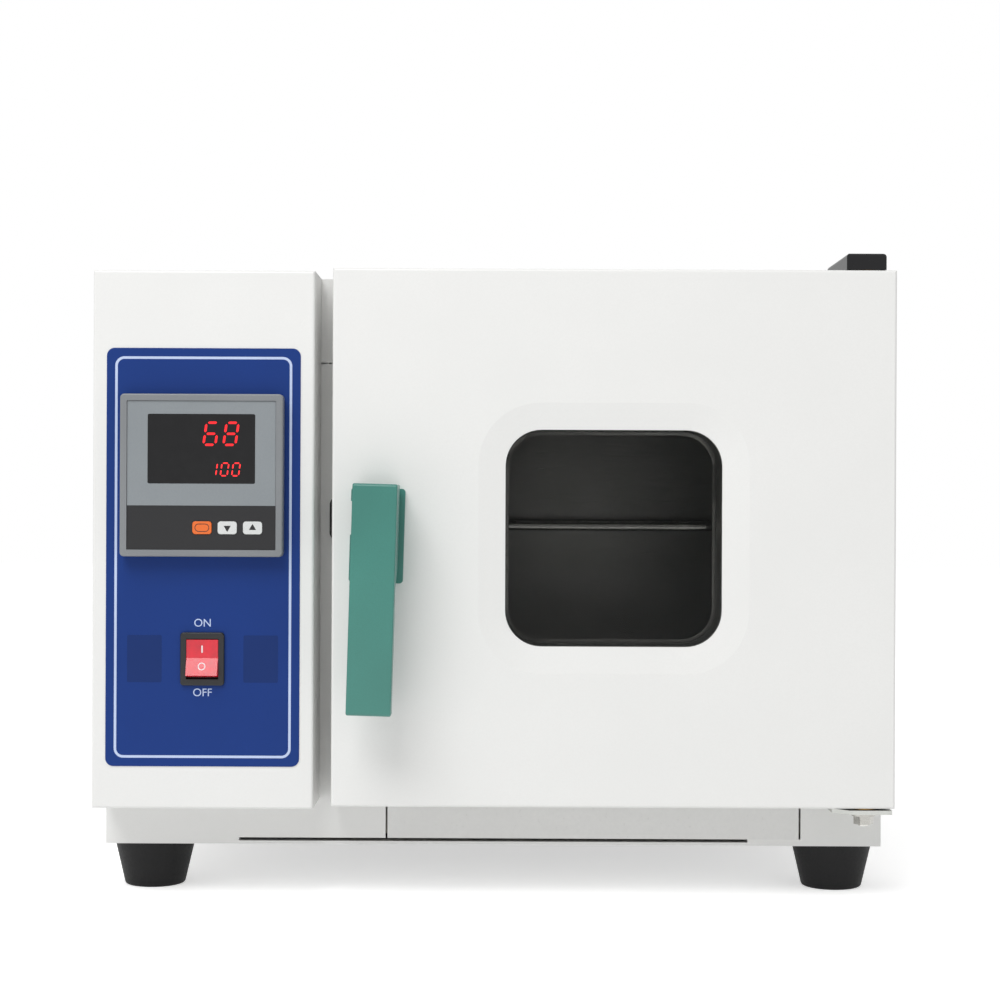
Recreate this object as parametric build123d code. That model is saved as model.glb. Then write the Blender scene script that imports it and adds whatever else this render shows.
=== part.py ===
from build123d import *
import math
import os

# A small laboratory drying oven: cabinet, control box on the left, glazed door on the right.
# Millimetres, +X right, +Y back, +Z up. The origin is on the bench, midway between the
# cabinet's sides and midway between the handle's front and the cable gland's end.

# Cabinet
cabinet_width = 477.0
cabinet_height = 343.8
cabinet_depth = 330.0
sheet = 1.2
bend_radius = 3.0
bottom_flange = 12.0
seam_height = 292.0
seam_gap = 0.8
slit_offset = 2.15
slit_width = 1.2

# Base and feet
foot_height = 29.0
foot_top_diameter = 50.5
foot_bottom_diameter = 37.0
foot_edge_radius = 2.0
foot_inset_side = 26.0
foot_inset_front = 28.0
foot_recess_diameter = 16.0
foot_recess_depth = 14.0
foot_screw_diameter = 6.0
foot_screw_head_diameter = 11.0
foot_screw_head_height = 4.0
base_plate_thickness = 2.0
rail_thickness = 2.0
rail_width = 82.0

# Chamber, its lining and insulation
chamber_height = 250.0
chamber_length = 250.0
chamber_inset_right = 52.1
chamber_inset_box = 43.5
chamber_floor_height = 60.7
chamber_corner_radius = 8.0
liner_wall = 1.0
insulation_side = 38.0
insulation_front_gap = 10.0

# Door
door_box_gap = 10.6
door_height = 319.9
door_thickness = 41.0
door_gap = 4.0
door_bottom_height = 25.8
door_sheet = 1.2
door_front_radius = 1.6
door_rear_radius = 3.0
door_inner_sheet = 1.0
door_insulation_gap = 3.8
running_gap = 0.3

# Window
window_size = 129.0
window_corner_radius = 21.5
recess_size = 161.0
recess_corner_radius = 37.0
recess_depth = 3.0
seal_width = 6.0
seal_thickness = 1.0
glass_thickness = 4.0
liner_tube_wall = 1.5
inner_glass_overlap = 2.0

# Gasket
gasket_width = 5.5
gasket_offset = 3.6
gasket_radius = 1.6

# Hinges
pivot_from_edge = 17.0
pivot_depth = 10.0
hinge_pin_diameter = 6.0
hinge_pin_reach = 16.0
pin_clearance = 0.05
bush_diameter = 11.0
bush_flange_diameter = 15.0
bush_flange_thickness = 0.8
lower_plate_thickness = 2.5
lower_plate_left = 19.0
lower_plate_right = 15.5
lower_plate_front = 9.0
lower_plate_chamfer = 9.0
lower_leg_height = 40.0
slot_clearance = 0.2
hinge_washer_diameter = 14.3
hinge_washer_thickness = 1.6
hinge_nut_flats = 10.2
hinge_nut_height = 5.0
upper_plate_thickness = 3.0
upper_plate_width = 18.0
upper_plate_front = 7.0
upper_plate_rear = 26.0
upper_pin_head_diameter = 10.0
upper_pin_head_height = 2.0
hinge_cover_width = 23.6
hinge_cover_length = 80.0
hinge_cover_height = 12.0
hinge_cover_wall = 1.2
hinge_cover_radius = 2.2
hinge_cover_end_radius = 8.8
hinge_cover_offset = -1.0
screw_diameter = 4.0
screw_head_diameter = 8.0
screw_head_height = 2.4

# Handle and latch
handle_from_edge = 27.5
handle_length = 133.9
handle_width = 26.0
handle_top_above_pivot = 14.4
handle_projection = 38.0
handle_lean = 1.5
handle_pivot_height = 203.0
handle_pivot_projection = 20.0
grip_thickness = 13.0
grip_head_length = 48.0
grip_head_back = 7.0
grip_wall = 2.5
grip_radius = 2.0
base_width = 32.0
base_length = 56.0
base_above_pivot = 12.0
base_thickness = 4.0
ear_thickness = 3.0
ear_radius = 7.0
handle_pin_diameter = 4.0
tail_thickness = 3.0
tail_height = 6.0
tail_nose_reach = 6.0
tail_hub_radius = 5.5
tail_slot_width = 6.4
tail_slot_height = 20.0
strike_width = 28.0
strike_height = 27.0
strike_thickness = 3.2
strike_radius = 5.0
strike_left_of_door = 4.9
strike_screw_diameter = 3.0
strike_screw_head_diameter = 5.5

# Control box and panel
box_width = 131.4
box_bottom_height = 24.3
box_return = 9.0
box_front_radius = 1.6
overlay_width = 115.0
overlay_height = 248.1
overlay_thickness = 0.4
overlay_radius = 4.7
overlay_from_left = 65.7
overlay_bottom_height = 49.5
wiring_margin = 14.0

# Temperature controller
bezel_size = 96.0
bezel_projection = 9.0
bezel_radius = 2.5
moulding_radius = 1.0
bezel_edge_radius = 1.0
controller_height = 222.1
face_size = 87.5
face_recess = 0.6
face_thickness = 2.0
face_clearance = 0.2
controller_opening = 82.0
controller_case_size = 91.4
controller_case_depth = 60.0
panel_cutout = 92.0
display_width = 63.4
display_height = 41.1
display_above_centre = 15.6
key_strip_height = 25.9
key_width = 11.3
key_height = 7.55
key_radius = 1.8
key_projection = 0.7
key_travel = 0.6
key_clearance = 0.25
key_flange = 0.7
key_flange_thickness = 0.8
key_below_centre = 30.9
first_key_offset = 0.6
key_pitch = 14.9

# Power switch
switch_height = 113.3
switch_bezel_width = 26.0
switch_bezel_height = 31.5
switch_bezel_projection = 2.0
switch_bezel_radius = 2.0
switch_body_width = 21.8
switch_body_height = 27.0
switch_body_depth = 22.0
switch_cutout_clearance = 0.3
rocker_width = 18.6
rocker_half_length = 10.7
rocker_opening_height = 24.0
rocker_side_clearance = 0.3
rocker_tilt = 11.0
rocker_pivot_depth = 3.0
rocker_back = 1.0
rocker_axle_diameter = 3.0
rocker_axle_reach = 0.9
rocker_pocket_depth = 6.6
terminal_width = 6.3
terminal_thickness = 0.8
terminal_length = 9.0
terminal_pitch = 7.0

# Chamber fittings
ledge_count = 3
ledge_spacing = 60.0
ledge_width = 9.0
ledge_thickness = 1.0
ledge_corner_gap = 1.0
rail_length = 222.0
rail_plate_height = 150.0
shelf_height = 192.0
shelf_frame_diameter = 5.0
shelf_wire_diameter = 3.0
shelf_depth = 222.0
shelf_side_clearance = 2.0
shelf_from_back = 14.0
shelf_wires = 9
heater_cover_height = 28.0
heater_cover_thickness = 1.0
heater_cover_clearance = 2.0
heater_slot_rows = 4
heater_slots_per_row = 5
heater_slot_length = 34.0
heater_slot_width = 6.0
heater_diameter = 8.0
heater_spread = 60.0
heater_end_margin = 60.0
heater_height = 14.0
heater_flange_diameter = 12.0
heater_flange_thickness = 2.0
probe_diameter = 5.0
probe_length = 40.0
probe_margin = 12.0

# Exhaust vent
vent_bore = 24.0
vent_wall = 2.0
vent_flange_diameter = 46.0
vent_flange_thickness = 1.5
vent_collar_height = 11.0
vent_window_width = 12.0
vent_window_height = 5.0
vent_window_lift = 1.5
vent_cap_wall = 2.0
vent_cap_clearance = 0.4
vent_cap_top = 2.5
vent_windows = 4

# Back panel and wiring
gland_projection = 14.0
gland_bore = 8.0
gland_thread_diameter = 16.0
gland_hex_flats = 21.0
gland_hex_height = 5.0
gland_nut_height = 4.0
gland_height = 40.0
side_slot_length = 34.0
side_slot_width = 4.0
side_slot_pitch = 12.0
side_slot_count = 9
side_slot_from_back = 60.0
side_slot_height = 90.0
back_slot_count = 6
relay_size = (26.0, 46.0, 58.0)

# Places that follow from the sizes
z_base = foot_height
z_rail = z_base + base_plate_thickness
z_cabinet = z_rail + rail_thickness
z_top = z_cabinet + cabinet_height
x_left = -cabinet_width / 2
x_right = cabinet_width / 2
door_width = cabinet_width - box_width - door_box_gap
chamber_width = cabinet_width - box_width - chamber_inset_right - chamber_inset_box
slit_pitch = chamber_width + 2 * slit_offset
heater_leg_length = chamber_width - heater_end_margin
door_stand_off = door_thickness + door_gap
front_reach = door_stand_off + handle_projection
y_cabinet = (front_reach - cabinet_depth - gland_projection) / 2
y_back = y_cabinet + cabinet_depth
y_door = y_cabinet - door_stand_off
y_door_back = y_door + door_thickness
door_x0 = x_right - door_width
handle_x = door_x0 + handle_from_edge
door_z0 = z_cabinet + door_bottom_height
door_z1 = door_z0 + door_height
door_cx = (door_x0 + x_right) / 2
door_cz = (door_z0 + door_z1) / 2
chamber_x1 = x_right - chamber_inset_right
chamber_x0 = chamber_x1 - chamber_width
chamber_cx = (chamber_x0 + chamber_x1) / 2
chamber_z0 = z_cabinet + chamber_floor_height
chamber_z1 = chamber_z0 + chamber_height
chamber_cz = (chamber_z0 + chamber_z1) / 2
y_chamber_back = y_cabinet + chamber_length
z_seam = z_cabinet + seam_height
panel_edge = (slit_pitch + slit_width) / 2
sill_edge = (slit_pitch - slit_width) / 2
lip_reach = panel_edge - chamber_width / 2
pivot_x = x_right - pivot_from_edge
pivot_y = y_door + pivot_depth
handle_z = z_cabinet + handle_pivot_height
handle_y = y_door - handle_pivot_projection
ear_spread = handle_width - 2 * (grip_wall + tail_thickness + running_gap)
tail_x = handle_x - handle_width / 2 + grip_wall + tail_thickness / 2
partition_x = chamber_x0 - liner_wall - insulation_side
vent_y = (y_cabinet + y_chamber_back) / 2
foot_x = cabinet_width / 2 - foot_inset_side
foot_y_front = y_cabinet + foot_inset_front
foot_y_back = y_back - foot_inset_front
foot_places = {
    "front_left": (-foot_x, foot_y_front),
    "front_right": (foot_x, foot_y_front),
    "back_left": (-foot_x, foot_y_back),
    "back_right": (foot_x, foot_y_back),
}

parts = {}


def block(x0, x1, y0, y1, z0, z1):
    """A box between two corners."""
    size = (x1 - x0, y1 - y0, z1 - z0)
    return Pos((x0 + x1) / 2, (y0 + y1) / 2, (z0 + z1) / 2) * Box(*size)


def slab(x, z, width, height, radius, y0, y1):
    """A rounded rectangle facing the front, from depth y0 back to y1."""
    outline = RectangleRounded(width, height, radius)
    return extrude(Plane.XZ.offset(-y1) * Pos(x, z) * outline, amount=y1 - y0)


def rod_x(x0, x1, y, z, diameter):
    """A round bar along X."""
    return Pos((x0 + x1) / 2, y, z) * Rot(0, 90, 0) * Cylinder(diameter / 2, x1 - x0)


def rod_y(x, y0, y1, z, diameter):
    """A round bar along Y."""
    return Pos(x, (y0 + y1) / 2, z) * Rot(90, 0, 0) * Cylinder(diameter / 2, y1 - y0)


def rod_z(x, y, z0, z1, diameter):
    """A round bar along Z."""
    return Pos(x, y, (z0 + z1) / 2) * Cylinder(diameter / 2, z1 - z0)


def hexagon_z(x, y, z0, z1, flats):
    """A hexagonal bar along Z, measured across its flats."""
    outline = RegularPolygon(flats / 2, 6, major_radius=False)
    return extrude(Pos(x, y, z0) * outline, amount=z1 - z0)


def side_profile(points, x0, x1):
    """A (y, z) outline extruded from x0 to x1."""
    face = make_face(Polyline(*[(y, z) for y, z in points], close=True))
    return extrude(Plane.YZ.offset(x0) * face, amount=x1 - x0)


def solids_of(shapes):
    """One node made of several separate solids."""
    return Compound(children=list(shapes))


def foot(x, y):
    """A tapered rubber foot with a deep recess for its screw."""
    body = Pos(x, y, foot_height / 2) * Cone(
        foot_bottom_diameter / 2, foot_top_diameter / 2, foot_height
    )
    rim = body.edges().filter_by(GeomType.CIRCLE).sort_by(Axis.Z)[0]
    body = fillet(rim, foot_edge_radius)
    recess = rod_z(x, y, 0, foot_recess_depth, foot_recess_diameter)
    hole = rod_z(x, y, 0, foot_height, foot_screw_diameter)
    return body - recess - hole


def foot_screw(x, y):
    """The screw that holds a foot: its head sits in the recess."""
    head_z = foot_recess_depth - foot_screw_head_height
    head = rod_z(x, y, head_z, foot_recess_depth, foot_screw_head_diameter)
    return head + rod_z(x, y, foot_recess_depth, z_rail, foot_screw_diameter)


for name, (x, y) in foot_places.items():
    parts["foot_" + name] = foot(x, y)
parts["foot_screws"] = solids_of(foot_screw(x, y) for x, y in foot_places.values())

base_plate = block(x_left, x_right, y_cabinet, y_back, z_base, z_rail)
for x, y in foot_places.values():
    base_plate -= rod_z(x, y, z_base, z_rail, foot_screw_diameter)
parts["base_plate"] = base_plate
parts["foot_rails"] = solids_of(
    block(x, x + rail_width, y_cabinet, y_back, z_rail, z_cabinet)
    for x in (x_left, x_right - rail_width)
)


def cabinet_wrap():
    """The folded sheet over the sides and top, with flanges turned in at the bottom."""
    outer = block(x_left, x_right, y_cabinet, y_back, z_cabinet, z_top)
    top_bends = outer.edges().filter_by(Axis.Y).group_by(Axis.Z)[-1]
    outer = fillet(top_bends, bend_radius)
    inner = block(
        x_left + sheet, x_right - sheet, y_cabinet, y_back, z_cabinet, z_top - sheet
    )
    inner = fillet(inner.edges().filter_by(Axis.Y).group_by(Axis.Z)[-1], bend_radius - sheet)
    wrap = outer - inner
    for edge, way in ((x_left, 1), (x_right, -1)):
        inside = edge + way * bottom_flange
        x0, x1 = sorted((edge, inside))
        wrap += block(x0, x1, y_cabinet + sheet, y_back - sheet, z_cabinet, z_cabinet + sheet)
    vent_hole = vent_bore + 2 * vent_wall
    wrap -= rod_z(chamber_cx, vent_y, z_top - 2 * sheet, z_top, vent_hole)
    for row in range(side_slot_count):
        z = z_cabinet + side_slot_height + row * side_slot_pitch
        y = y_back - side_slot_from_back
        slot = Plane.YZ.offset(x_left) * Pos(y, z) * SlotOverall(side_slot_length, side_slot_width)
        wrap -= extrude(slot, amount=sheet)
    return wrap


parts["cabinet_shell"] = cabinet_wrap()

# Front sheets around the chamber's mouth
front = (y_cabinet, y_cabinet + sheet)
mouth_x0 = chamber_cx - panel_edge
mouth_x1 = chamber_cx + panel_edge
mouth_z0 = chamber_z0 - lip_reach
mouth_z1 = chamber_z1 + lip_reach
tail_z = handle_z
strike_x0 = door_x0 - strike_left_of_door
strike_cx = strike_x0 + strike_width / 2
strike_cz = handle_z + tail_height - strike_height / 2 + 1


def tail_opening(y0, y1):
    """The slot that the latch tail passes through and swings down in."""
    top = tail_z + tail_height / 2 + 1
    x0 = tail_x - tail_slot_width / 2
    return block(x0, x0 + tail_slot_width, y0, y1, top - tail_slot_height, top)


left_panel = block(x_left + sheet, mouth_x0, *front, z_cabinet, z_seam - seam_gap / 2)
left_panel -= block(
    x_left + wiring_margin,
    x_left + box_width - wiring_margin,
    *front,
    z_cabinet + box_bottom_height + wiring_margin,
    z_seam - wiring_margin,
)
left_panel -= tail_opening(*front)
parts["left_front_panel"] = left_panel

lower_top = door_z0 - bush_flange_thickness - running_gap
lower_bottom = lower_top - lower_plate_thickness
right_panel = block(mouth_x1, x_right - sheet, *front, z_cabinet, z_seam - seam_gap / 2)
right_panel -= block(
    pivot_x - lower_plate_left - slot_clearance,
    pivot_x + lower_plate_right + slot_clearance,
    *front,
    lower_bottom - slot_clearance,
    lower_top + slot_clearance,
)
parts["right_front_panel"] = right_panel
parts["front_sill"] = block(
    chamber_cx - sill_edge, chamber_cx + sill_edge, *front, z_cabinet, mouth_z0
)
header = block(
    x_left + sheet, x_right - sheet, *front, z_seam + seam_gap / 2, z_top - sheet
)
header = fillet(header.edges().filter_by(Axis.Y).group_by(Axis.Z)[-1], bend_radius - sheet)
parts["front_header"] = header - block(mouth_x0, mouth_x1, *front, z_cabinet, mouth_z1)

back = block(
    x_left + sheet, x_right - sheet, y_back - sheet, y_back, z_cabinet, z_top - sheet
)
back = fillet(back.edges().filter_by(Axis.Y).group_by(Axis.Z)[-1], bend_radius - sheet)
gland_x = (x_left + partition_x) / 2
gland_z = z_cabinet + gland_height
back -= rod_y(gland_x, y_back - sheet, y_back, gland_z, gland_thread_diameter)
for row in range(back_slot_count):
    z = z_cabinet + side_slot_height + row * side_slot_pitch
    back -= slab(
        gland_x, z, side_slot_length, side_slot_width, side_slot_width / 2 - 0.01,
        y_back - sheet, y_back,
    )
parts["back_panel"] = back

# Chamber lining
liner_front = y_cabinet
outer = chamber_width + 2 * liner_wall, chamber_height + 2 * liner_wall
liner = slab(
    chamber_cx, chamber_cz, *outer, chamber_corner_radius + liner_wall,
    liner_front, y_chamber_back + liner_wall,
)
lip = block(mouth_x0, mouth_x1, liner_front, liner_front + liner_wall, mouth_z0, mouth_z1)
liner = liner + lip - slab(
    chamber_cx, chamber_cz, chamber_width, chamber_height, chamber_corner_radius,
    liner_front, y_chamber_back,
)
liner -= rod_z(chamber_cx, vent_y, chamber_z1, chamber_z1 + liner_wall, vent_bore)
heater_y = [y_chamber_back - chamber_length / 4, y_chamber_back - 3 * chamber_length / 4]
heater_z = chamber_z0 + heater_height
probe_y = y_chamber_back - probe_margin
probe_z = chamber_z1 - probe_margin - chamber_corner_radius
wall_x = (chamber_x0 - liner_wall, chamber_x0)
for y in heater_y:
    for side in (-1, 1):
        liner -= rod_x(*wall_x, y + side * heater_spread / 2, heater_z, heater_diameter)
liner -= rod_x(*wall_x, probe_y, probe_z, probe_diameter)
parts["chamber_liner"] = liner

insulation_y0 = y_cabinet + insulation_front_gap
insulation = block(
    partition_x, x_right - sheet, insulation_y0, y_back - sheet,
    z_cabinet + sheet, z_top - sheet,
)
insulation = fillet(
    insulation.edges().filter_by(Axis.Y).group_by(Axis.Z)[-1].sort_by(Axis.X)[-1],
    bend_radius - sheet,
)
insulation -= slab(
    chamber_cx, chamber_cz, *outer, chamber_corner_radius + liner_wall,
    insulation_y0, y_chamber_back + liner_wall,
)
vent_outer = vent_bore + 2 * vent_wall
insulation -= rod_z(chamber_cx, vent_y, chamber_z1, z_top, vent_outer)
heater_tail_x = partition_x - sheet - heater_height
for y in heater_y:
    for side in (-1, 1):
        insulation -= rod_x(
            partition_x, chamber_x0, y + side * heater_spread / 2, heater_z, heater_diameter
        )
insulation -= rod_x(partition_x, chamber_x0, probe_y, probe_z, probe_diameter)
parts["insulation_wrap"] = insulation

partition = block(
    partition_x - sheet, partition_x, y_cabinet + sheet, y_back - sheet,
    z_cabinet, z_top - sheet,
)
for y in heater_y:
    for side in (-1, 1):
        partition -= rod_x(
            partition_x - sheet, partition_x, y + side * heater_spread / 2, heater_z,
            heater_diameter,
        )
partition -= rod_x(partition_x - sheet, partition_x, probe_y, probe_z, probe_diameter)
parts["partition_wall"] = partition


def heating_element(y):
    """A U-shaped tubular heater whose ends run out through the chamber's left wall."""
    x_bend = chamber_x0 + heater_leg_length
    r = heater_spread / 2
    a, b = (heater_tail_x, y - r, heater_z), (x_bend, y - r, heater_z)
    c, d = (x_bend, y + r, heater_z), (heater_tail_x, y + r, heater_z)
    path = Wire([Line(a, b), ThreePointArc(b, (x_bend + r, y, heater_z), c), Line(c, d)])
    section = Plane(origin=a, z_dir=(1, 0, 0)) * Circle(heater_diameter / 2)
    tube = sweep(section, path=path)
    for side in (-1, 1):
        tube += rod_x(
            chamber_x0, chamber_x0 + heater_flange_thickness, y + side * r, heater_z,
            heater_flange_diameter,
        )
    return tube


parts["heating_elements"] = solids_of(heating_element(y) for y in heater_y)
parts["temperature_probe"] = rod_x(
    heater_tail_x, chamber_x0 + probe_length, probe_y, probe_z, probe_diameter
)

# Perforated floor over the heaters, folded down to the chamber's floor on two sides
cover_x0 = chamber_x0 + heater_cover_clearance
cover_x1 = chamber_x1 - heater_cover_clearance
cover_y0 = y_cabinet + heater_cover_clearance
cover_y1 = y_chamber_back - heater_cover_clearance
cover_z = chamber_z0 + heater_cover_height
cover = block(cover_x0, cover_x1, cover_y0, cover_y1, cover_z - heater_cover_thickness, cover_z)
for y0, y1 in (
    (cover_y0, cover_y0 + heater_cover_thickness),
    (cover_y1 - heater_cover_thickness, cover_y1),
):
    inset = chamber_corner_radius
    cover += block(cover_x0 + inset, cover_x1 - inset, y0, y1, chamber_z0, cover_z)
for row in range(heater_slot_rows):
    for column in range(heater_slots_per_row):
        x = chamber_cx + (column - (heater_slots_per_row - 1) / 2) * chamber_width / (
            heater_slots_per_row + 0.5
        )
        y = vent_y + (row - (heater_slot_rows - 1) / 2) * chamber_length / (
            heater_slot_rows + 1
        )
        slot = Pos(x, y, cover_z) * SlotOverall(heater_slot_length, heater_slot_width)
        cover -= extrude(slot, amount=-heater_cover_thickness)
parts["heater_cover"] = cover

# Shelf, with the ledges that carry it
shelf_z = z_cabinet + shelf_height
shelf_bottom = shelf_z - shelf_frame_diameter / 2
shelf_y1 = y_chamber_back - shelf_from_back
shelf_y0 = shelf_y1 - shelf_depth


def side_ledges(wall, way):
    """A plate on the chamber's side wall with folded ledges for the shelf."""
    middle = shelf_bottom - running_gap
    z_low = middle - ledge_spacing - ledge_width
    back_edge = y_chamber_back - chamber_corner_radius - ledge_corner_gap
    x0, x1 = sorted((wall, wall + way * ledge_thickness))
    piece = block(x0, x1, back_edge - rail_length, back_edge, z_low, z_low + rail_plate_height)
    for level in range(ledge_count):
        top = middle + (level - (ledge_count - 1) / 2) * ledge_spacing
        x0, x1 = sorted((wall, wall + way * ledge_width))
        piece += block(x0, x1, back_edge - rail_length, back_edge, top - ledge_thickness, top)
    return piece


parts["shelf_rails"] = solids_of([side_ledges(chamber_x0, 1), side_ledges(chamber_x1, -1)])


def wire_shelf():
    """A round-bar frame with thinner wires running from front to back."""
    r = shelf_frame_diameter / 2
    side = ledge_thickness + shelf_side_clearance + r
    x0, x1 = chamber_x0 + side, chamber_x1 - side
    y0, y1 = shelf_y0 + r, shelf_y1 - r
    shelf = rod_y(x0, y0 - r, y1 + r, shelf_z, shelf_frame_diameter)
    shelf += rod_y(x1, y0 - r, y1 + r, shelf_z, shelf_frame_diameter)
    shelf += rod_x(x0, x1, y0, shelf_z, shelf_frame_diameter)
    shelf += rod_x(x0, x1, y1, shelf_z, shelf_frame_diameter)
    pitch = (x1 - x0) / (shelf_wires + 1)
    for wire in range(1, shelf_wires + 1):
        shelf += rod_y(x0 + wire * pitch, y0, y1, shelf_z, shelf_wire_diameter)
    return shelf


parts["shelf"] = wire_shelf()

# Exhaust vent: a neck with side windows and a cap that turns over them
vent_top = z_top + vent_collar_height
vent_window_z = z_top + vent_flange_thickness + vent_window_lift


def vent_ports(radius):
    """Radial windows spaced evenly around the vent's axis."""
    height = vent_window_height
    port = block(0, radius, -vent_window_width / 2, vent_window_width / 2, 0, height)
    step = 360 / vent_windows
    place = Pos(chamber_cx, vent_y, vent_window_z)
    return [place * Rot(0, 0, i * step) * port for i in range(vent_windows)]


neck = rod_z(chamber_cx, vent_y, chamber_z1 + liner_wall, vent_top, vent_outer)
neck += rod_z(
    chamber_cx, vent_y, z_top, z_top + vent_flange_thickness, vent_flange_diameter
)
neck -= rod_z(chamber_cx, vent_y, chamber_z1, vent_top, vent_bore)
for port in vent_ports(vent_outer):
    neck -= port
parts["vent_neck"] = neck
cap_inner = vent_outer + 2 * vent_cap_clearance
cap_outer = cap_inner + 2 * vent_cap_wall
cap_z0 = z_top + vent_flange_thickness + running_gap
cap_z1 = vent_top + running_gap + vent_cap_top
cap = rod_z(chamber_cx, vent_y, cap_z0, cap_z1, cap_outer)
cap -= rod_z(chamber_cx, vent_y, cap_z0, vent_top + running_gap, cap_inner)
for port in vent_ports(cap_outer):
    cap -= port
cap = fillet(cap.edges().filter_by(GeomType.CIRCLE).sort_by(Axis.Z)[-1], 1.0)
parts["vent_cap"] = cap

# Cable gland and the heaters' relay
gland = rod_y(
    gland_x, y_back - sheet - gland_nut_height, y_back + gland_hex_height, gland_z,
    gland_thread_diameter,
)
hexagon = RegularPolygon(gland_hex_flats / 2, 6, major_radius=False)
gland += extrude(
    Plane.XZ.offset(-y_back - gland_hex_height) * Pos(gland_x, gland_z) * hexagon,
    amount=gland_hex_height,
)
dome_y = y_back + gland_hex_height
dome = Pos(gland_x, (dome_y + y_back + gland_projection) / 2, gland_z) * Rot(90, 0, 0) * Cone(
    gland_thread_diameter / 2 - 1, gland_hex_flats / 2 - 0.5, gland_projection - gland_hex_height
)
gland += dome
gland += extrude(
    Plane.XZ.offset(-y_back + sheet) * Pos(gland_x, gland_z) * hexagon,
    amount=gland_nut_height,
)
gland_bore_span = (y_back - sheet - gland_nut_height, y_back + gland_projection)
parts["cable_gland"] = gland - rod_y(gland_x, *gland_bore_span, gland_z, gland_bore)

component_x = partition_x - sheet
relay_w, relay_d, relay_h = relay_size
relay_y = y_back - side_slot_from_back - relay_d / 2
parts["heater_relay"] = block(
    component_x - relay_w, component_x, relay_y, relay_y + relay_d, gland_z, gland_z + relay_h
)

# Door
door_outline = block(door_x0, x_right, y_door, y_door_back, door_z0, door_z1)
door_outline = fillet(
    door_outline.edges().filter_by(Axis.Z).group_by(Axis.Y)[-1], door_rear_radius
)
door_outline = fillet(door_outline.edges().group_by(Axis.Y)[0], door_front_radius)
window = (door_cx, door_cz)
dish_back = y_door + recess_depth + door_sheet


def window_hole(size_margin, y0, y1):
    """The window's rounded square, grown by a margin, through a depth."""
    size = window_size + 2 * size_margin
    return slab(*window, size, size, window_corner_radius + size_margin, y0, y1)


def dish(shift):
    """The pressed recess around the window, moved back by a shift."""
    wide = RectangleRounded(recess_size, recess_size, recess_corner_radius)
    narrow = RectangleRounded(window_size, window_size, window_corner_radius)
    rim = Plane.XZ.offset(-y_door - shift) * Pos(*window) * wide
    floor = Plane.XZ.offset(-y_door - shift - recess_depth) * Pos(*window) * narrow
    return loft([rim.face(), floor.face()], ruled=True)


bush_places = ((door_z0, 1), (door_z1, -1))
latch_slot = tail_opening(y_door, y_door_back)
skin_inside = block(
    door_x0 + door_sheet, x_right - door_sheet, y_door + door_sheet, y_door_back,
    door_z0 + door_sheet, door_z1 - door_sheet,
)
skin = door_outline - skin_inside
skin += dish(door_sheet)
skin -= dish(0)
skin -= window_hole(0, y_door, dish_back)
for z, _ in bush_places:
    skin -= rod_z(pivot_x, pivot_y, z - door_sheet, z + door_sheet, bush_diameter)
parts["door_outer_skin"] = skin - latch_slot

panel_y = y_door_back - door_inner_sheet
inner_panel = block(
    door_x0 + door_sheet, x_right - door_sheet, panel_y, y_door_back,
    door_z0 + door_sheet, door_z1 - door_sheet,
) & door_outline
inner_panel -= window_hole(-inner_glass_overlap, panel_y, y_door_back)
parts["door_inner_panel"] = inner_panel - latch_slot

seal_y = dish_back
outer_glass_y = seal_y + seal_thickness
inner_glass_y = panel_y - glass_thickness
parts["glass_seal"] = window_hole(seal_width, seal_y, outer_glass_y) - window_hole(
    0, seal_y, outer_glass_y
)
parts["outer_glass"] = window_hole(seal_width, outer_glass_y, outer_glass_y + glass_thickness)
parts["inner_glass"] = window_hole(seal_width, inner_glass_y, panel_y)
tube_y0 = outer_glass_y + glass_thickness
tube = window_hole(liner_tube_wall, tube_y0, inner_glass_y)
tube += window_hole(seal_width, tube_y0, tube_y0 + door_sheet)
tube += window_hole(seal_width, inner_glass_y - door_sheet, inner_glass_y)
parts["window_liner"] = tube - window_hole(0, tube_y0, inner_glass_y)

filling = block(
    door_x0 + door_sheet, x_right - door_sheet, dish_back + door_insulation_gap - recess_depth,
    panel_y, door_z0 + door_sheet, door_z1 - door_sheet,
) & door_outline
filling -= window_hole(seal_width, y_door, panel_y)
for z, way in bush_places:
    z0, z1 = sorted((z, z + way * (hinge_pin_reach + 2)))
    filling -= rod_z(pivot_x, pivot_y, z0, z1, bush_diameter)
parts["door_insulation"] = filling - latch_slot


def gasket():
    """A silicone ring around the chamber's mouth, rounded where it meets the cabinet."""
    y1 = y_cabinet - running_gap
    margin = gasket_offset + gasket_width
    ring = slab(
        chamber_cx, chamber_cz, chamber_width + 2 * margin, chamber_height + 2 * margin,
        chamber_corner_radius + margin, y_door_back, y1,
    )
    ring -= slab(
        chamber_cx, chamber_cz, chamber_width + 2 * gasket_offset,
        chamber_height + 2 * gasket_offset, chamber_corner_radius + gasket_offset,
        y_door_back, y1,
    )
    return fillet(ring.edges().group_by(Axis.Y)[-1], gasket_radius)


parts["door_gasket"] = gasket()


def hinge_bush(z, way):
    """A flanged bush let into the door's edge, opening outwards."""
    inner_end = z + way * hinge_pin_reach
    flange_end = z - way * bush_flange_thickness
    z0, z1 = sorted((flange_end, inner_end))
    bush = rod_z(pivot_x, pivot_y, z0, z1, bush_diameter)
    f0, f1 = sorted((flange_end, z))
    bush += rod_z(pivot_x, pivot_y, f0, f1, bush_flange_diameter)
    return bush - rod_z(pivot_x, pivot_y, z0, z1, hinge_pin_diameter + 2 * pin_clearance)


parts["hinge_bushes"] = solids_of(hinge_bush(z, way) for z, way in bush_places)

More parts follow.
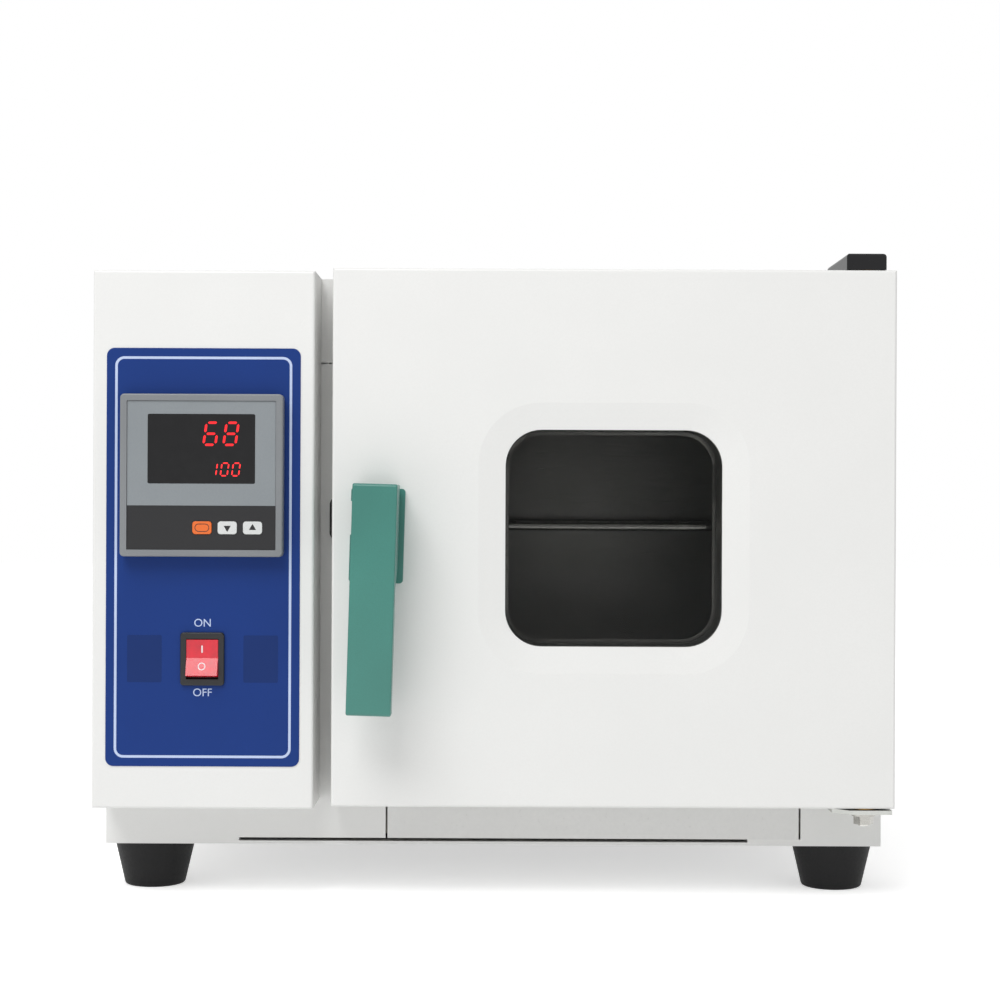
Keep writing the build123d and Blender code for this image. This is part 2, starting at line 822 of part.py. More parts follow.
# Lower hinge: a plate through the right front sheet, with a pin held by a nut
plate_x0 = pivot_x - lower_plate_left
plate_x1 = pivot_x + lower_plate_right
leg_y = y_cabinet + sheet
lower_plate = block(
    plate_x0, plate_x1, pivot_y - lower_plate_front, leg_y + lower_plate_thickness,
    lower_bottom, lower_top,
)
front_corners = lower_plate.edges().filter_by(Axis.Z).group_by(Axis.Y)[0].sort_by(Axis.X)
lower_plate = chamfer(front_corners[0], lower_plate_chamfer)
lower_plate += block(
    plate_x0, plate_x1, leg_y, leg_y + lower_plate_thickness, lower_bottom,
    lower_bottom + lower_leg_height,
)
lower_plate -= rod_z(pivot_x, pivot_y, lower_bottom, lower_top, hinge_pin_diameter)
parts["lower_hinge_plate"] = lower_plate
washer_z = lower_bottom - hinge_washer_thickness
nut_z = washer_z - hinge_nut_height
pin_bore = hinge_pin_diameter
washer = rod_z(pivot_x, pivot_y, washer_z, lower_bottom, hinge_washer_diameter)
washer -= rod_z(pivot_x, pivot_y, washer_z, lower_bottom, pin_bore)
nut = hexagon_z(pivot_x, pivot_y, nut_z, washer_z, hinge_nut_flats)
nut -= rod_z(pivot_x, pivot_y, nut_z, washer_z, pin_bore)
parts["lower_hinge_nut"] = solids_of([washer, nut])
parts["lower_hinge_pin"] = rod_z(
    pivot_x, pivot_y, nut_z - 1, door_z0 + hinge_pin_reach - 1, hinge_pin_diameter
)

# Upper hinge: a joggled plate on the cabinet's top, its pin, and a cover over both
upper_z = door_z1 + bush_flange_thickness + running_gap
joggle = y_cabinet + bend_radius
plate_front = pivot_y - upper_plate_front
plate_end = joggle + upper_plate_rear
upper_plate = side_profile(
    [
        (plate_front, upper_z),
        (joggle, upper_z),
        (joggle + upper_plate_thickness, z_top),
        (plate_end, z_top),
        (plate_end, z_top + upper_plate_thickness),
        (joggle + 2 * upper_plate_thickness, z_top + upper_plate_thickness),
        (joggle + upper_plate_thickness, upper_z + upper_plate_thickness),
        (plate_front, upper_z + upper_plate_thickness),
    ],
    pivot_x - upper_plate_width / 2,
    pivot_x + upper_plate_width / 2,
)
upper_top = upper_z + upper_plate_thickness
upper_plate -= rod_z(pivot_x, pivot_y, upper_z, upper_top, hinge_pin_diameter)
screw_margin = screw_head_diameter / 2 + 1
screw_y = (joggle + 2 * upper_plate_thickness + screw_margin, plate_end - screw_margin)
for y in screw_y:
    upper_plate -= rod_z(pivot_x, y, z_top, z_top + upper_plate_thickness, screw_diameter)
parts["upper_hinge_plate"] = upper_plate
upper_pin = rod_z(
    pivot_x, pivot_y, door_z1 - hinge_pin_reach + 1, upper_top, hinge_pin_diameter
)
parts["upper_hinge_pin"] = upper_pin + rod_z(
    pivot_x, pivot_y, upper_top, upper_top + upper_pin_head_height, upper_pin_head_diameter
)
head_z = z_top + upper_plate_thickness
hinge_screws = [
    rod_z(pivot_x, y, head_z, head_z + screw_head_height, screw_head_diameter)
    + rod_z(pivot_x, y, z_top, head_z, screw_diameter)
    for y in screw_y
]


def hinge_cover():
    """A moulded cap over the upper hinge, stepped down behind the door."""
    x = pivot_x + hinge_cover_offset
    half = hinge_cover_width / 2
    top = z_top + hinge_cover_height
    y0 = y_door + 1
    y1 = y0 + hinge_cover_length
    step_y = y_cabinet + running_gap
    low = door_z1 + running_gap
    wall = hinge_cover_wall
    outline = [(y0, low), (step_y, low), (step_y, z_top), (y1, z_top), (y1, top), (y0, top)]
    shell = side_profile(outline, x - half, x + half)
    far_edges = shell.edges().filter_by(Axis.Z).group_by(Axis.Y)[-1]
    shell = fillet(far_edges, hinge_cover_end_radius)
    long_edges = shell.edges().group_by(Axis.Z)[-1]
    shell = fillet(long_edges, hinge_cover_radius)
    inside = block(
        x - half + wall, x + half - wall, y0 + wall, y1 - wall, z_top - wall, top - wall
    )
    far_edges = inside.edges().filter_by(Axis.Z).group_by(Axis.Y)[-1]
    return shell - fillet(far_edges, hinge_cover_end_radius - wall)


parts["hinge_cover"] = hinge_cover()

# Handle and latch, drawn upright about the pivot and then leaned
lean = Pos(handle_x, handle_y, handle_z) * Rot(0, handle_lean, 0)
grip_x = (-handle_width / 2, handle_width / 2)
depth = handle_pivot_projection
grip_front = depth - handle_projection
grip_back = grip_front + grip_thickness
head_back = depth - grip_head_back
grip_top = handle_top_above_pivot
grip_bottom = grip_top - handle_length


def grip():
    """The lever: a hollow head over the pivot and a solid bar below it to pull on."""
    body = side_profile(
        [
            (grip_front, grip_bottom),
            (grip_back, grip_bottom),
            (grip_back, grip_top - grip_head_length - grip_thickness),
            (head_back, grip_top - grip_head_length),
            (head_back, grip_top),
            (grip_front, grip_top),
        ],
        *grip_x,
    )
    body = fillet(body.edges().filter_by(Axis.X), grip_radius)
    body = fillet(body.edges().group_by(Axis.Y)[0], grip_radius / 2)
    pocket = block(
        grip_x[0] + grip_wall, grip_x[1] - grip_wall, grip_front + grip_wall + 1, head_back,
        grip_top - grip_head_length + grip_wall, grip_top - grip_wall,
    )
    hole_reach = handle_width / 2 - 1
    return body - pocket - rod_x(-hole_reach, hole_reach, 0, 0, handle_pin_diameter)


parts["handle_grip"] = lean * grip()
pin_reach = handle_width / 2 - 1
parts["handle_pin"] = lean * rod_x(-pin_reach, pin_reach, 0, 0, handle_pin_diameter)


def handle_base():
    """The bracket on the door: a plate with two ears for the handle's pin."""
    y0 = depth - base_thickness
    plate = block(
        -base_width / 2, base_width / 2, y0, depth, base_above_pivot - base_length,
        base_above_pivot,
    )
    plate = fillet(plate.edges().filter_by(Axis.Y), grip_radius)
    ear_low = ear_radius - base_length / 2
    for side in (-1, 1):
        x0, x1 = sorted((side * (ear_spread / 2 - ear_thickness), side * ear_spread / 2))
        ear = side_profile([(0, ear_radius), (y0, ear_radius), (y0, ear_low), (0, -ear_radius)], x0, x1)
        plate += ear + rod_x(x0, x1, 0, 0, 2 * ear_radius)
    plate -= rod_x(-ear_spread, ear_spread, 0, 0, handle_pin_diameter + 2 * pin_clearance)
    slot = block(
        -base_width, -ear_spread / 2, y0, depth,
        tail_height / 2 + 1 - tail_slot_height, tail_height / 2 + 1,
    )
    return plate - slot


base = lean * handle_base()
parts["handle_base"] = base & block(
    -cabinet_width, cabinet_width, -cabinet_depth, y_door, 0, z_top
)


def latch_tail():
    """The latch bar: from a hub on the handle's pin through the door to the strike."""
    nose = depth + door_stand_off + tail_nose_reach
    half = tail_height / 2
    bar = side_profile(
        [(0, -half), (nose - half, -half), (nose, 0), (nose - half, half), (0, half)],
        -tail_thickness / 2, tail_thickness / 2,
    )
    hub = rod_x(-tail_thickness / 2, tail_thickness / 2, 0, 0, 2 * tail_hub_radius)
    hole = rod_x(-tail_thickness, tail_thickness, 0, 0, handle_pin_diameter)
    return Pos(tail_x - handle_x, 0, 0) * (bar + hub - hole)


parts["latch_tail"] = lean * latch_tail()

strike_y = y_cabinet - strike_thickness
strike = slab(
    strike_cx, strike_cz, strike_width, strike_height, strike_radius, strike_y, y_cabinet
)
strike = fillet(strike.edges().group_by(Axis.Y)[0], 0.8)
screw_x = strike_x0 + strike_width / 3.2
strike_screw_z = (strike_cz - strike_height / 4, strike_cz + strike_height / 4)
for z in strike_screw_z:
    strike -= rod_y(screw_x, strike_y, y_cabinet, z, strike_screw_diameter)
parts["latch_strike"] = strike - tail_opening(strike_y, y_cabinet)
strike_screws = [
    rod_y(screw_x, strike_y - 0.4, strike_y, z, strike_screw_head_diameter)
    + rod_y(screw_x, strike_y, y_cabinet, z, strike_screw_diameter)
    for z in strike_screw_z
]
parts["fixing_screws"] = solids_of(hinge_screws + strike_screws)

# Control box
box_x1 = x_left + box_width
box_z0 = z_cabinet + box_bottom_height
overlay_cx = x_left + overlay_from_left
overlay_z0 = z_cabinet + overlay_bottom_height
overlay_cz = overlay_z0 + overlay_height / 2
control_z = z_cabinet + controller_height
switch_z = z_cabinet + switch_height
switch_hole = (
    switch_body_width + switch_cutout_clearance,
    switch_body_height + switch_cutout_clearance,
)


def panel_cutouts(y0, y1):
    """The openings for the controller and the switch."""
    controller = slab(
        overlay_cx, control_z, panel_cutout, panel_cutout, moulding_radius / 4, y0, y1
    )
    switch = slab(overlay_cx, switch_z, *switch_hole, switch_cutout_clearance / 2, y0, y1)
    return controller + switch


box = block(x_left, box_x1, y_door, y_cabinet, box_z0, z_top)
box = fillet(box.edges().group_by(Axis.Y)[0], box_front_radius)
box -= block(
    x_left + sheet, box_x1 - sheet, y_door + sheet, y_cabinet - sheet, box_z0 + sheet,
    z_top - sheet,
)
box -= block(
    x_left + box_return, box_x1 - box_return, y_door + sheet, y_cabinet, box_z0 + box_return,
    z_top - box_return,
)
parts["control_box_cover"] = box - panel_cutouts(y_door, y_door + sheet)
overlay_y = y_door - overlay_thickness
overlay = slab(
    overlay_cx, overlay_cz, overlay_width, overlay_height, overlay_radius, overlay_y, y_door
)
parts["panel_overlay"] = overlay - panel_cutouts(overlay_y, y_door)

# Temperature controller
bezel_y = overlay_y - bezel_projection
face_y = bezel_y + face_recess
face_back = face_y + face_thickness
board_y = face_back + 2 * running_gap + key_flange_thickness + key_travel + running_gap
bezel = slab(
    overlay_cx, control_z, bezel_size, bezel_size, bezel_radius, bezel_y, overlay_y
)
bezel = fillet(bezel.edges().group_by(Axis.Y)[0], bezel_edge_radius)
face_hole = face_size + 2 * face_clearance
bezel -= slab(
    overlay_cx, control_z, face_hole, face_hole, 2 * face_clearance, bezel_y, face_back
)
parts["controller_bezel"] = bezel - slab(
    overlay_cx, control_z, controller_opening, controller_opening, moulding_radius,
    face_back, overlay_y,
)
strip_z0 = control_z - face_size / 2
strip_z1 = strip_z0 + key_strip_height
face_z1 = control_z + face_size / 2
display_z = control_z + display_above_centre
face_x = (overlay_cx - face_size / 2, overlay_cx + face_size / 2)
face = block(*face_x, face_y, face_back, strip_z1, face_z1)
parts["controller_face"] = face - slab(
    overlay_cx, display_z, display_width, display_height, moulding_radius, face_y,
    face_back,
)
parts["display_window"] = slab(
    overlay_cx, display_z, display_width, display_height, moulding_radius,
    face_y + face_clearance, face_back,
)
strip = block(*face_x, face_y, face_back, strip_z0, strip_z1)
key_z = control_z - key_below_centre
keys = {"key_set": 0, "key_down": 1, "key_up": 2}
for name, place in keys.items():
    x = overlay_cx + first_key_offset + place * key_pitch
    hole_size = (key_width + 2 * key_clearance, key_height + 2 * key_clearance)
    strip -= slab(x, key_z, *hole_size, key_radius + key_clearance, face_y, face_back)
    flange_y = face_back + running_gap
    key = slab(x, key_z, key_width, key_height, key_radius, face_y - key_projection, flange_y)
    key = fillet(key.edges().group_by(Axis.Y)[0], key_clearance)
    key += slab(
        x, key_z, key_width + 2 * key_flange, key_height + 2 * key_flange,
        key_radius + key_flange, flange_y, flange_y + key_flange_thickness,
    )
    parts[name] = key
parts["key_strip"] = strip

case_front = slab(
    overlay_cx, control_z, controller_opening, controller_opening, moulding_radius,
    board_y, overlay_y,
)
case_half = controller_case_size / 2
case_y1 = overlay_y + controller_case_depth
parts["controller_case"] = case_front + block(
    overlay_cx - case_half, overlay_cx + case_half, overlay_y, case_y1,
    control_z - case_half, control_z + case_half,
)

# Power switch
switch_y = overlay_y - switch_bezel_projection
rocker_y = switch_y + rocker_pivot_depth
housing = slab(
    overlay_cx, switch_z, switch_bezel_width, switch_bezel_height, switch_bezel_radius,
    switch_y, overlay_y,
)
housing = fillet(housing.edges().group_by(Axis.Y)[0], switch_bezel_radius / 3)
housing += block(
    overlay_cx - switch_body_width / 2, overlay_cx + switch_body_width / 2, overlay_y,
    overlay_y + switch_body_depth, switch_z - switch_body_height / 2,
    switch_z + switch_body_height / 2,
)
pocket_half = rocker_width / 2 + rocker_side_clearance
housing -= block(
    overlay_cx - pocket_half, overlay_cx + pocket_half, switch_y,
    switch_y + rocker_pocket_depth + rocker_back, switch_z - rocker_opening_height / 2,
    switch_z + rocker_opening_height / 2,
)
axle_reach = pocket_half + rocker_axle_reach - rocker_side_clearance
axle_hole = rocker_axle_diameter + 2 * pin_clearance
housing -= rod_x(
    overlay_cx - axle_reach - pin_clearance, overlay_cx + axle_reach + pin_clearance,
    rocker_y, switch_z, axle_hole,
)
parts["switch_housing"] = housing


def rocker():
    """The rocker at its middle: a shallow V in front, round ends and two axle stubs."""
    rise = rocker_half_length * math.tan(math.radians(rocker_tilt))
    front_y = -rocker_pivot_depth
    points = [
        (front_y, 0),
        (front_y - rise, rocker_half_length),
        (rocker_back, rocker_half_length),
        (rocker_back, -rocker_half_length),
        (front_y - rise, -rocker_half_length),
    ]
    body = side_profile(points, -rocker_width / 2, rocker_width / 2)
    axle = rod_x(-axle_reach, axle_reach, 0, 0, rocker_axle_diameter)
    return body + axle


parts["switch_rocker"] = Pos(overlay_cx, rocker_y, switch_z) * Rot(-rocker_tilt, 0, 0) * rocker()
switch_back = overlay_y + switch_body_depth
parts["switch_terminals"] = solids_of(
    block(
        overlay_cx - terminal_width / 2, overlay_cx + terminal_width / 2, switch_back,
        switch_back + terminal_length, z - terminal_thickness / 2, z + terminal_thickness / 2,
    )
    for z in (switch_z - terminal_pitch, switch_z, switch_z + terminal_pitch)
)

os.makedirs("parts", exist_ok=True)
for name, shape in parts.items():
    export_step(shape, f"parts/{name}.step")
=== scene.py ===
import math

import bpy
import numpy as np
from mathutils.bvhtree import BVHTree
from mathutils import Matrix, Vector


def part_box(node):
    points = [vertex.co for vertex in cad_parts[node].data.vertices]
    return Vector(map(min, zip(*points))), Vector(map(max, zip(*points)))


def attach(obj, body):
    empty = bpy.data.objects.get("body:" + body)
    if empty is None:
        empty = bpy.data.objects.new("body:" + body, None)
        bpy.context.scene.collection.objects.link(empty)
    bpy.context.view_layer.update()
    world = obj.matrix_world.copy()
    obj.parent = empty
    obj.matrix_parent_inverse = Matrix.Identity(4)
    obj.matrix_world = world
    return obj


bl_info = {
    "name": "Drying Oven Finish",
    "version": (1, 0, 0),
    "blender": (4, 5, 0),
    "location": "View3D > Sidebar > Oven",
    "description": "Finishes a small laboratory drying oven and sets its studio",
    "category": "Object",
}

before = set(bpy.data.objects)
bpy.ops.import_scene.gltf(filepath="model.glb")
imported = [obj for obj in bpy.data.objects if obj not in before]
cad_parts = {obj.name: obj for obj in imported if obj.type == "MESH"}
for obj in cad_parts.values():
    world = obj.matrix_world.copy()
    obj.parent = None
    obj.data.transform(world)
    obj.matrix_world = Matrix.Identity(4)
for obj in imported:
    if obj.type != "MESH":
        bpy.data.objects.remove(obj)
MM = 0.001
OVERLAY_LOW, OVERLAY_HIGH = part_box("panel_overlay")
DOOR_LOW, DOOR_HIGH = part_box("door_outer_skin")
DISPLAY_LOW, DISPLAY_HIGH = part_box("display_window")
ROCKER_LOW, ROCKER_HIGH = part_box("switch_rocker")
PRINT_THICKNESS = 0.05 * MM
BORDER_RADIUS = 5.5 * MM
SQUARE_SIZE = (20.5 * MM, 28.0 * MM)
SQUARE_RADIUS = 1.0 * MM
SQUARE_ASIDE = 34.5 * MM
ON_ABOVE_SWITCH = 5.4 * MM
OFF_BELOW_SWITCH = 4.4 * MM
UPPER_DIGITS = (11.5 * MM, 8.9 * MM)
LOWER_DIGITS = (13.7 * MM, -12.1 * MM)
ARROW_RADIUS = 2.4 * MM
OVAL_SIZE = (8.6 * MM, 4.8 * MM)
OVAL_RADIUS = 2.39 * MM
OVAL_LINE = 0.4 * MM
BAR_SIZE = (0.9 * MM, 4.4 * MM)
BAR_RADIUS = 0.4 * MM
BAR_ABOVE_MIDDLE = 5.5 * MM
RING_DIAMETER = 4.5 * MM
RING_RADIUS = 2.24 * MM
RING_LINE = 0.6 * MM
RING_BELOW_MIDDLE = 4.6 * MM
MARK_SUNK = 0.02 * MM


def middle(low, high):
    """The centre of a box, as x, y, z."""
    return [(a + b) / 2 for a, b in zip(low, high)]


class OvenSizes(bpy.types.PropertyGroup):
    """Sizes of the printed and lit details."""

    border_inset: bpy.props.FloatProperty(
        name="Border inset", description="From the panel's edge to its light line",
        default=5.0 * MM, unit="LENGTH",
    )
    border_width: bpy.props.FloatProperty(
        name="Border width", description="Width of the light line on the panel",
        default=1.5 * MM, unit="LENGTH",
    )
    digit_height: bpy.props.FloatProperty(
        name="Upper digits", description="Height of the measured value's digits",
        default=14.4 * MM, unit="LENGTH",
    )
    set_digit_height: bpy.props.FloatProperty(
        name="Lower digits", description="Height of the set value's digits",
        default=8.2 * MM, unit="LENGTH",
    )
    digit_lean: bpy.props.FloatProperty(
        name="Digit lean", description="How far the digits lean to the right",
        default=math.radians(8), subtype="ANGLE",
    )
    measured: bpy.props.StringProperty(
        name="Measured value", description="Digits on the upper line", default="68"
    )
    wanted: bpy.props.StringProperty(
        name="Set value", description="Digits on the lower line", default="100"
    )
    letter_height: bpy.props.FloatProperty(
        name="Letters", description="Height of ON and OFF beside the switch",
        default=4.6 * MM, unit="LENGTH",
    )


class OvenColours(bpy.types.PropertyGroup):
    """Colours that a user would change, as sRGB hex."""

    coat: bpy.props.StringProperty(
        name="Coat", description="Powder coat on the sheet metal", default="#F0F0EE"
    )
    film: bpy.props.StringProperty(
        name="Film", description="Printed film on the control box", default="#12377F"
    )
    line: bpy.props.StringProperty(
        name="Line", description="Light line and letters on the film", default="#C4D3F2"
    )
    handle: bpy.props.StringProperty(
        name="Handle", description="Moulded handle", default="#3E8478"
    )


class OvenStudio(bpy.types.PropertyGroup):
    """Camera, light and floor."""

    camera_distance: bpy.props.FloatProperty(
        name="Camera distance", description="From the camera to the door's front",
        default=1.2, unit="LENGTH",
    )
    camera_x: bpy.props.FloatProperty(
        name="Camera side", description="Camera's place across the oven",
        default=3.25 * MM, unit="LENGTH",
    )
    camera_height: bpy.props.FloatProperty(
        name="Camera height", description="Camera's height over the bench",
        default=241.3 * MM, unit="LENGTH",
    )
    camera_roll: bpy.props.FloatProperty(
        name="Camera roll", description="Turn of the picture, clockwise",
        default=math.radians(0.25), subtype="ANGLE",
    )
    lens: bpy.props.FloatProperty(
        name="Lens", description="Focal length in millimetres on a 36 mm sensor",
        default=72.8,
    )
    key_power: bpy.props.FloatProperty(
        name="Key light", description="Power of the large lamp above and to the left",
        default=34.0, subtype="POWER",
    )
    sky: bpy.props.FloatProperty(
        name="Room light", description="Strength of the even light all round", default=0.52
    )
    floor_lift: bpy.props.FloatProperty(
        name="Floor glow", description="Glow that makes the floor white to the camera",
        default=0.52,
    )
    floor_half: bpy.props.FloatProperty(
        name="Floor", description="Half the floor's width", default=6.0, unit="LENGTH"
    )


def linear(hex_colour):
    """An sRGB hex colour as linear RGBA."""
    channels = [int(hex_colour[i:i + 2], 16) / 255 for i in (1, 3, 5)]
    bright = [c / 12.92 if c <= 0.04045 else ((c + 0.055) / 1.055) ** 2.4 for c in channels]
    return (*bright, 1.0)


def shade(hex_colour, factor):
    """A hex colour made darker or lighter."""
    channels = [min(255, int(int(hex_colour[i:i + 2], 16) * factor)) for i in (1, 3, 5)]
    return "#" + "".join(f"{c:02X}" for c in channels)


def add_node(tree, kind, settings=None, inputs=None):
    """Adds a node; a value that is a socket is linked, any other is set."""
    node = tree.nodes.new(kind)
    for key, value in (settings or {}).items():
        setattr(node, key, value)
    for key, value in (inputs or {}).items():
        if isinstance(value, bpy.types.NodeSocket):
            tree.links.new(value, node.inputs[key])
        else:
            node.inputs[key].default_value = value
    return node


def finish_material(name, colour, roughness, grain_mm, relief=0.1, depth_mm=0.05,
                    contrast=0.04, stretch=(1, 1, 1), spread=0.08, **sockets):
    """A surface with a grain of a real size in its colour, roughness and relief.

    The grain is noise on object coordinates whose cell is grain_mm across, drawn out
    along an axis by stretch. Cloudy noise 60 mm across varies the colour slowly.
    """
    material = bpy.data.materials.new(name)
    material.use_nodes = True
    tree = material.node_tree
    shader = tree.nodes["Principled BSDF"]
    place = add_node(tree, "ShaderNodeTexCoord")
    turned = add_node(tree, "ShaderNodeMapping", None, {
        "Vector": place.outputs["Object"], "Scale": stretch,
    })
    grain = add_node(tree, "ShaderNodeTexNoise", None, {
        "Vector": turned.outputs["Vector"], "Scale": 1000 / grain_mm, "Detail": 3.0,
    })
    cloud = add_node(tree, "ShaderNodeTexNoise", None, {
        "Vector": place.outputs["Object"], "Scale": 1000 / 60, "Detail": 2.0,
    })
    mixed = add_node(tree, "ShaderNodeMath", {"operation": "MULTIPLY"}, {
        0: grain.outputs["Fac"], 1: cloud.outputs["Fac"],
    })
    ramp = add_node(tree, "ShaderNodeMapRange", None, {
        "Value": mixed.outputs[0], "From Min": 0.1, "From Max": 0.45,
        "To Min": 0.0, "To Max": 1.0,
    })
    tint = add_node(tree, "ShaderNodeMix", {"data_type": "RGBA"}, {
        0: ramp.outputs["Result"], 6: linear(shade(colour, 1 - contrast)),
        7: linear(shade(colour, 1 + contrast)),
    })
    gloss = add_node(tree, "ShaderNodeMapRange", None, {
        "Value": grain.outputs["Fac"], "From Min": 0.25, "From Max": 0.75,
        "To Min": max(0.02, roughness - spread), "To Max": min(1.0, roughness + spread),
    })
    bump = add_node(tree, "ShaderNodeBump", None, {
        "Height": grain.outputs["Fac"], "Strength": relief, "Distance": depth_mm * MM,
    })
    tree.links.new(tint.outputs[2], shader.inputs["Base Color"])
    tree.links.new(gloss.outputs["Result"], shader.inputs["Roughness"])
    tree.links.new(bump.outputs["Normal"], shader.inputs["Normal"])
    for key, value in sockets.items():
        shader.inputs[key.replace("_", " ")].default_value = value
    return material


def dress(material, *nodes):
    """Gives a material to CAD nodes."""
    for node in nodes:
        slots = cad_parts[node].material_slots
        if not slots:
            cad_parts[node].data.materials.append(material)
        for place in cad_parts[node].material_slots:
            place.material = material


def closed_mesh(name, points, rings, around, material, body, smooth=False):
    """A closed skin over rings of points, each ring around points long.

    The points are an array of rings x around x 3. Neighbouring rings are joined by
    four-sided faces and the first and last ring are capped.
    """
    index = np.arange(rings * around).reshape(rings, around)
    after = np.roll(index, -1, axis=1)
    quads = np.stack([index[:-1], after[:-1], after[1:], index[1:]], axis=-1).reshape(-1, 4)
    faces = quads.tolist() + [index[0][::-1].tolist(), index[-1].tolist()]
    return place_mesh(name, points.reshape(-1, 3), faces, material, body, smooth)


def place_mesh(name, points, faces, material, body, smooth=False):
    """Makes the object, turns its faces outwards and lets it ride on its body."""
    mesh = bpy.data.meshes.new(name)
    mesh.from_pydata(np.asarray(points).tolist(), [], faces)
    solid = bpy.data.objects.new(name, mesh)
    bpy.context.scene.collection.objects.link(solid)
    if signed_volume(mesh) < 0:
        mesh.flip_normals()
    mesh.polygons.foreach_set("use_smooth", [smooth] * len(mesh.polygons))
    mesh.materials.append(material)
    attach(solid, body)
    return solid


def signed_volume(mesh):
    """The volume inside a closed mesh, negative where its faces point inwards."""
    mesh.calc_loop_triangles()
    count = len(mesh.loop_triangles)
    corners = np.empty(count * 3, dtype=np.int64)
    mesh.loop_triangles.foreach_get("vertices", corners)
    places = np.empty(len(mesh.vertices) * 3)
    mesh.vertices.foreach_get("co", places)
    a, b, c = places.reshape(-1, 3)[corners].reshape(count, 3, 3).transpose(1, 0, 2)
    return float(np.einsum("ij,ij->i", a, np.cross(b, c)).sum())


def plate(name, outline, y_back, thickness, material, body):
    """A thin plate: a convex outline in x and z, carried from y_back to the front.

    The point at (u, v) is the outline at u, at depth y_back - v * thickness.
    """
    outline = np.asarray(outline, dtype=float)
    rings = []
    for depth in (y_back, y_back - thickness):
        rings.append(np.column_stack([
            outline[:, 0], np.full(len(outline), depth), outline[:, 1],
        ]))
    points = np.stack(rings)
    return closed_mesh(name, points, 2, len(outline), material, body)


def rounded_outline(cx, cz, width, height, radius, steps=10):
    """Points around a rounded rectangle: four quarter circles joined by straight runs."""
    turn = np.linspace(0, math.pi / 2, steps)
    corners = np.array([(1, 1), (-1, 1), (-1, -1), (1, -1)])
    angle = turn[None, :] + np.arange(4)[:, None] * math.pi / 2
    x = cx + corners[:, :1] * (width / 2 - radius) + radius * np.cos(angle)
    z = cz + corners[:, 1:] * (height / 2 - radius) + radius * np.sin(angle)
    return np.column_stack([x.ravel(), z.ravel()])


def band(name, outer, inner, y_back, thickness, material, body):
    """A flat closed band between two outlines with the same number of points.

    Its section is a rectangle carried around the outline and joined to its start.
    """
    count = len(outer)
    front = np.full(count, y_back - thickness)
    back = np.full(count, y_back)
    section = [(outer, back), (outer, front), (inner, front), (inner, back)]
    points = np.stack([np.column_stack([o[:, 0], y, o[:, 1]]) for o, y in section])
    index = np.arange(4 * count).reshape(4, count)
    after = np.roll(index, -1, axis=1)
    across = np.roll(index, -1, axis=0)
    corner = np.roll(after, -1, axis=0)
    faces = np.stack([index, after, corner, across], axis=-1).reshape(-1, 4).tolist()
    return place_mesh(name, points.reshape(-1, 3), faces, material, body)


def outline_band(name, cx, cz, size, radius, line, y_back, thickness, material, body):
    """A line of even width just inside a rounded rectangle."""
    width, height = size
    outer = rounded_outline(cx, cz, width, height, radius)
    inner = rounded_outline(cx, cz, width - 2 * line, height - 2 * line, radius - line)
    return band(name, outer, inner, y_back, thickness, material, body)


def letters(name, words, cx, cz, height, y_back, material, body):
    """Plain letters as thin solid pieces, centred on a place."""
    curve = bpy.data.curves.new(name, "FONT")
    curve.body = words
    curve.align_x, curve.align_y = "CENTER", "CENTER"
    curve.size = height / 0.7
    curve.extrude = PRINT_THICKNESS / 2
    holder = bpy.data.objects.new(name + "_curve", curve)
    bpy.context.scene.collection.objects.link(holder)
    bpy.context.view_layer.update()
    mesh = bpy.data.meshes.new_from_object(holder)
    bpy.data.objects.remove(holder)
    places = np.empty(len(mesh.vertices) * 3)
    mesh.vertices.foreach_get("co", places)
    flat = places.reshape(-1, 3)
    moved = np.column_stack([
        flat[:, 0] + cx, -flat[:, 2] + y_back - PRINT_THICKNESS / 2, flat[:, 1] + cz,
    ])
    mesh.vertices.foreach_set("co", moved.ravel())
    mesh.name = name
    mesh.materials.clear()
    mesh.materials.append(material)
    piece = bpy.data.objects.new(name, mesh)
    bpy.context.scene.collection.objects.link(piece)
    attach(piece, body)
    return piece


SEGMENTS = {
    "0": "abcdef", "1": "bc", "2": "abged", "3": "abgcd", "4": "fgbc", "5": "afgcd",
    "6": "afgedc", "7": "abc", "8": "abcdefg", "9": "abcdfg",
}


def segment_bars(height):
    """Each segment's two ends and its name, in a digit of the given height."""
    half, wide = height / 2, height * 0.27
    return {
        "a": ((-wide, half), (wide, half)), "g": ((-wide, 0), (wide, 0)),
        "d": ((-wide, -half), (wide, -half)), "f": ((-wide, 0), (-wide, half)),
        "b": ((wide, 0), (wide, half)), "e": ((-wide, -half), (-wide, 0)),
        "c": ((wide, -half), (wide, 0)),
    }


def lit_digits(name, text, cx, cz, height, lean, y_back, material):
    """Seven-segment digits: each bar is a six-sided outline, leaned to the right."""
    pitch = height * 0.82
    thick = height * 0.048
    for place, digit in enumerate(text):
        x0 = cx + (place - (len(text) - 1) / 2) * pitch
        for key in SEGMENTS[digit]:
            (ax, az), (bx, bz) = segment_bars(height - 2 * thick)[key]
            along = np.array([bx - ax, bz - az])
            length = np.linalg.norm(along)
            along = along / length
            side = np.array([-along[1], along[0]])
            steps = np.array([
                (0.12, 0), (0.12 + thick / length, 1), (0.88 - thick / length, 1),
                (0.88, 0), (0.88 - thick / length, -1), (0.12 + thick / length, -1),
            ])
            flat = np.array([ax, az]) + steps[:, :1] * length * along + steps[:, 1:] * thick * side
            flat[:, 0] += x0 + flat[:, 1] * math.tan(lean)
            flat[:, 1] += cz
            plate(
                f"{name}_{place}{key}", flat, y_back, PRINT_THICKNESS, material, "cabinet"
            )


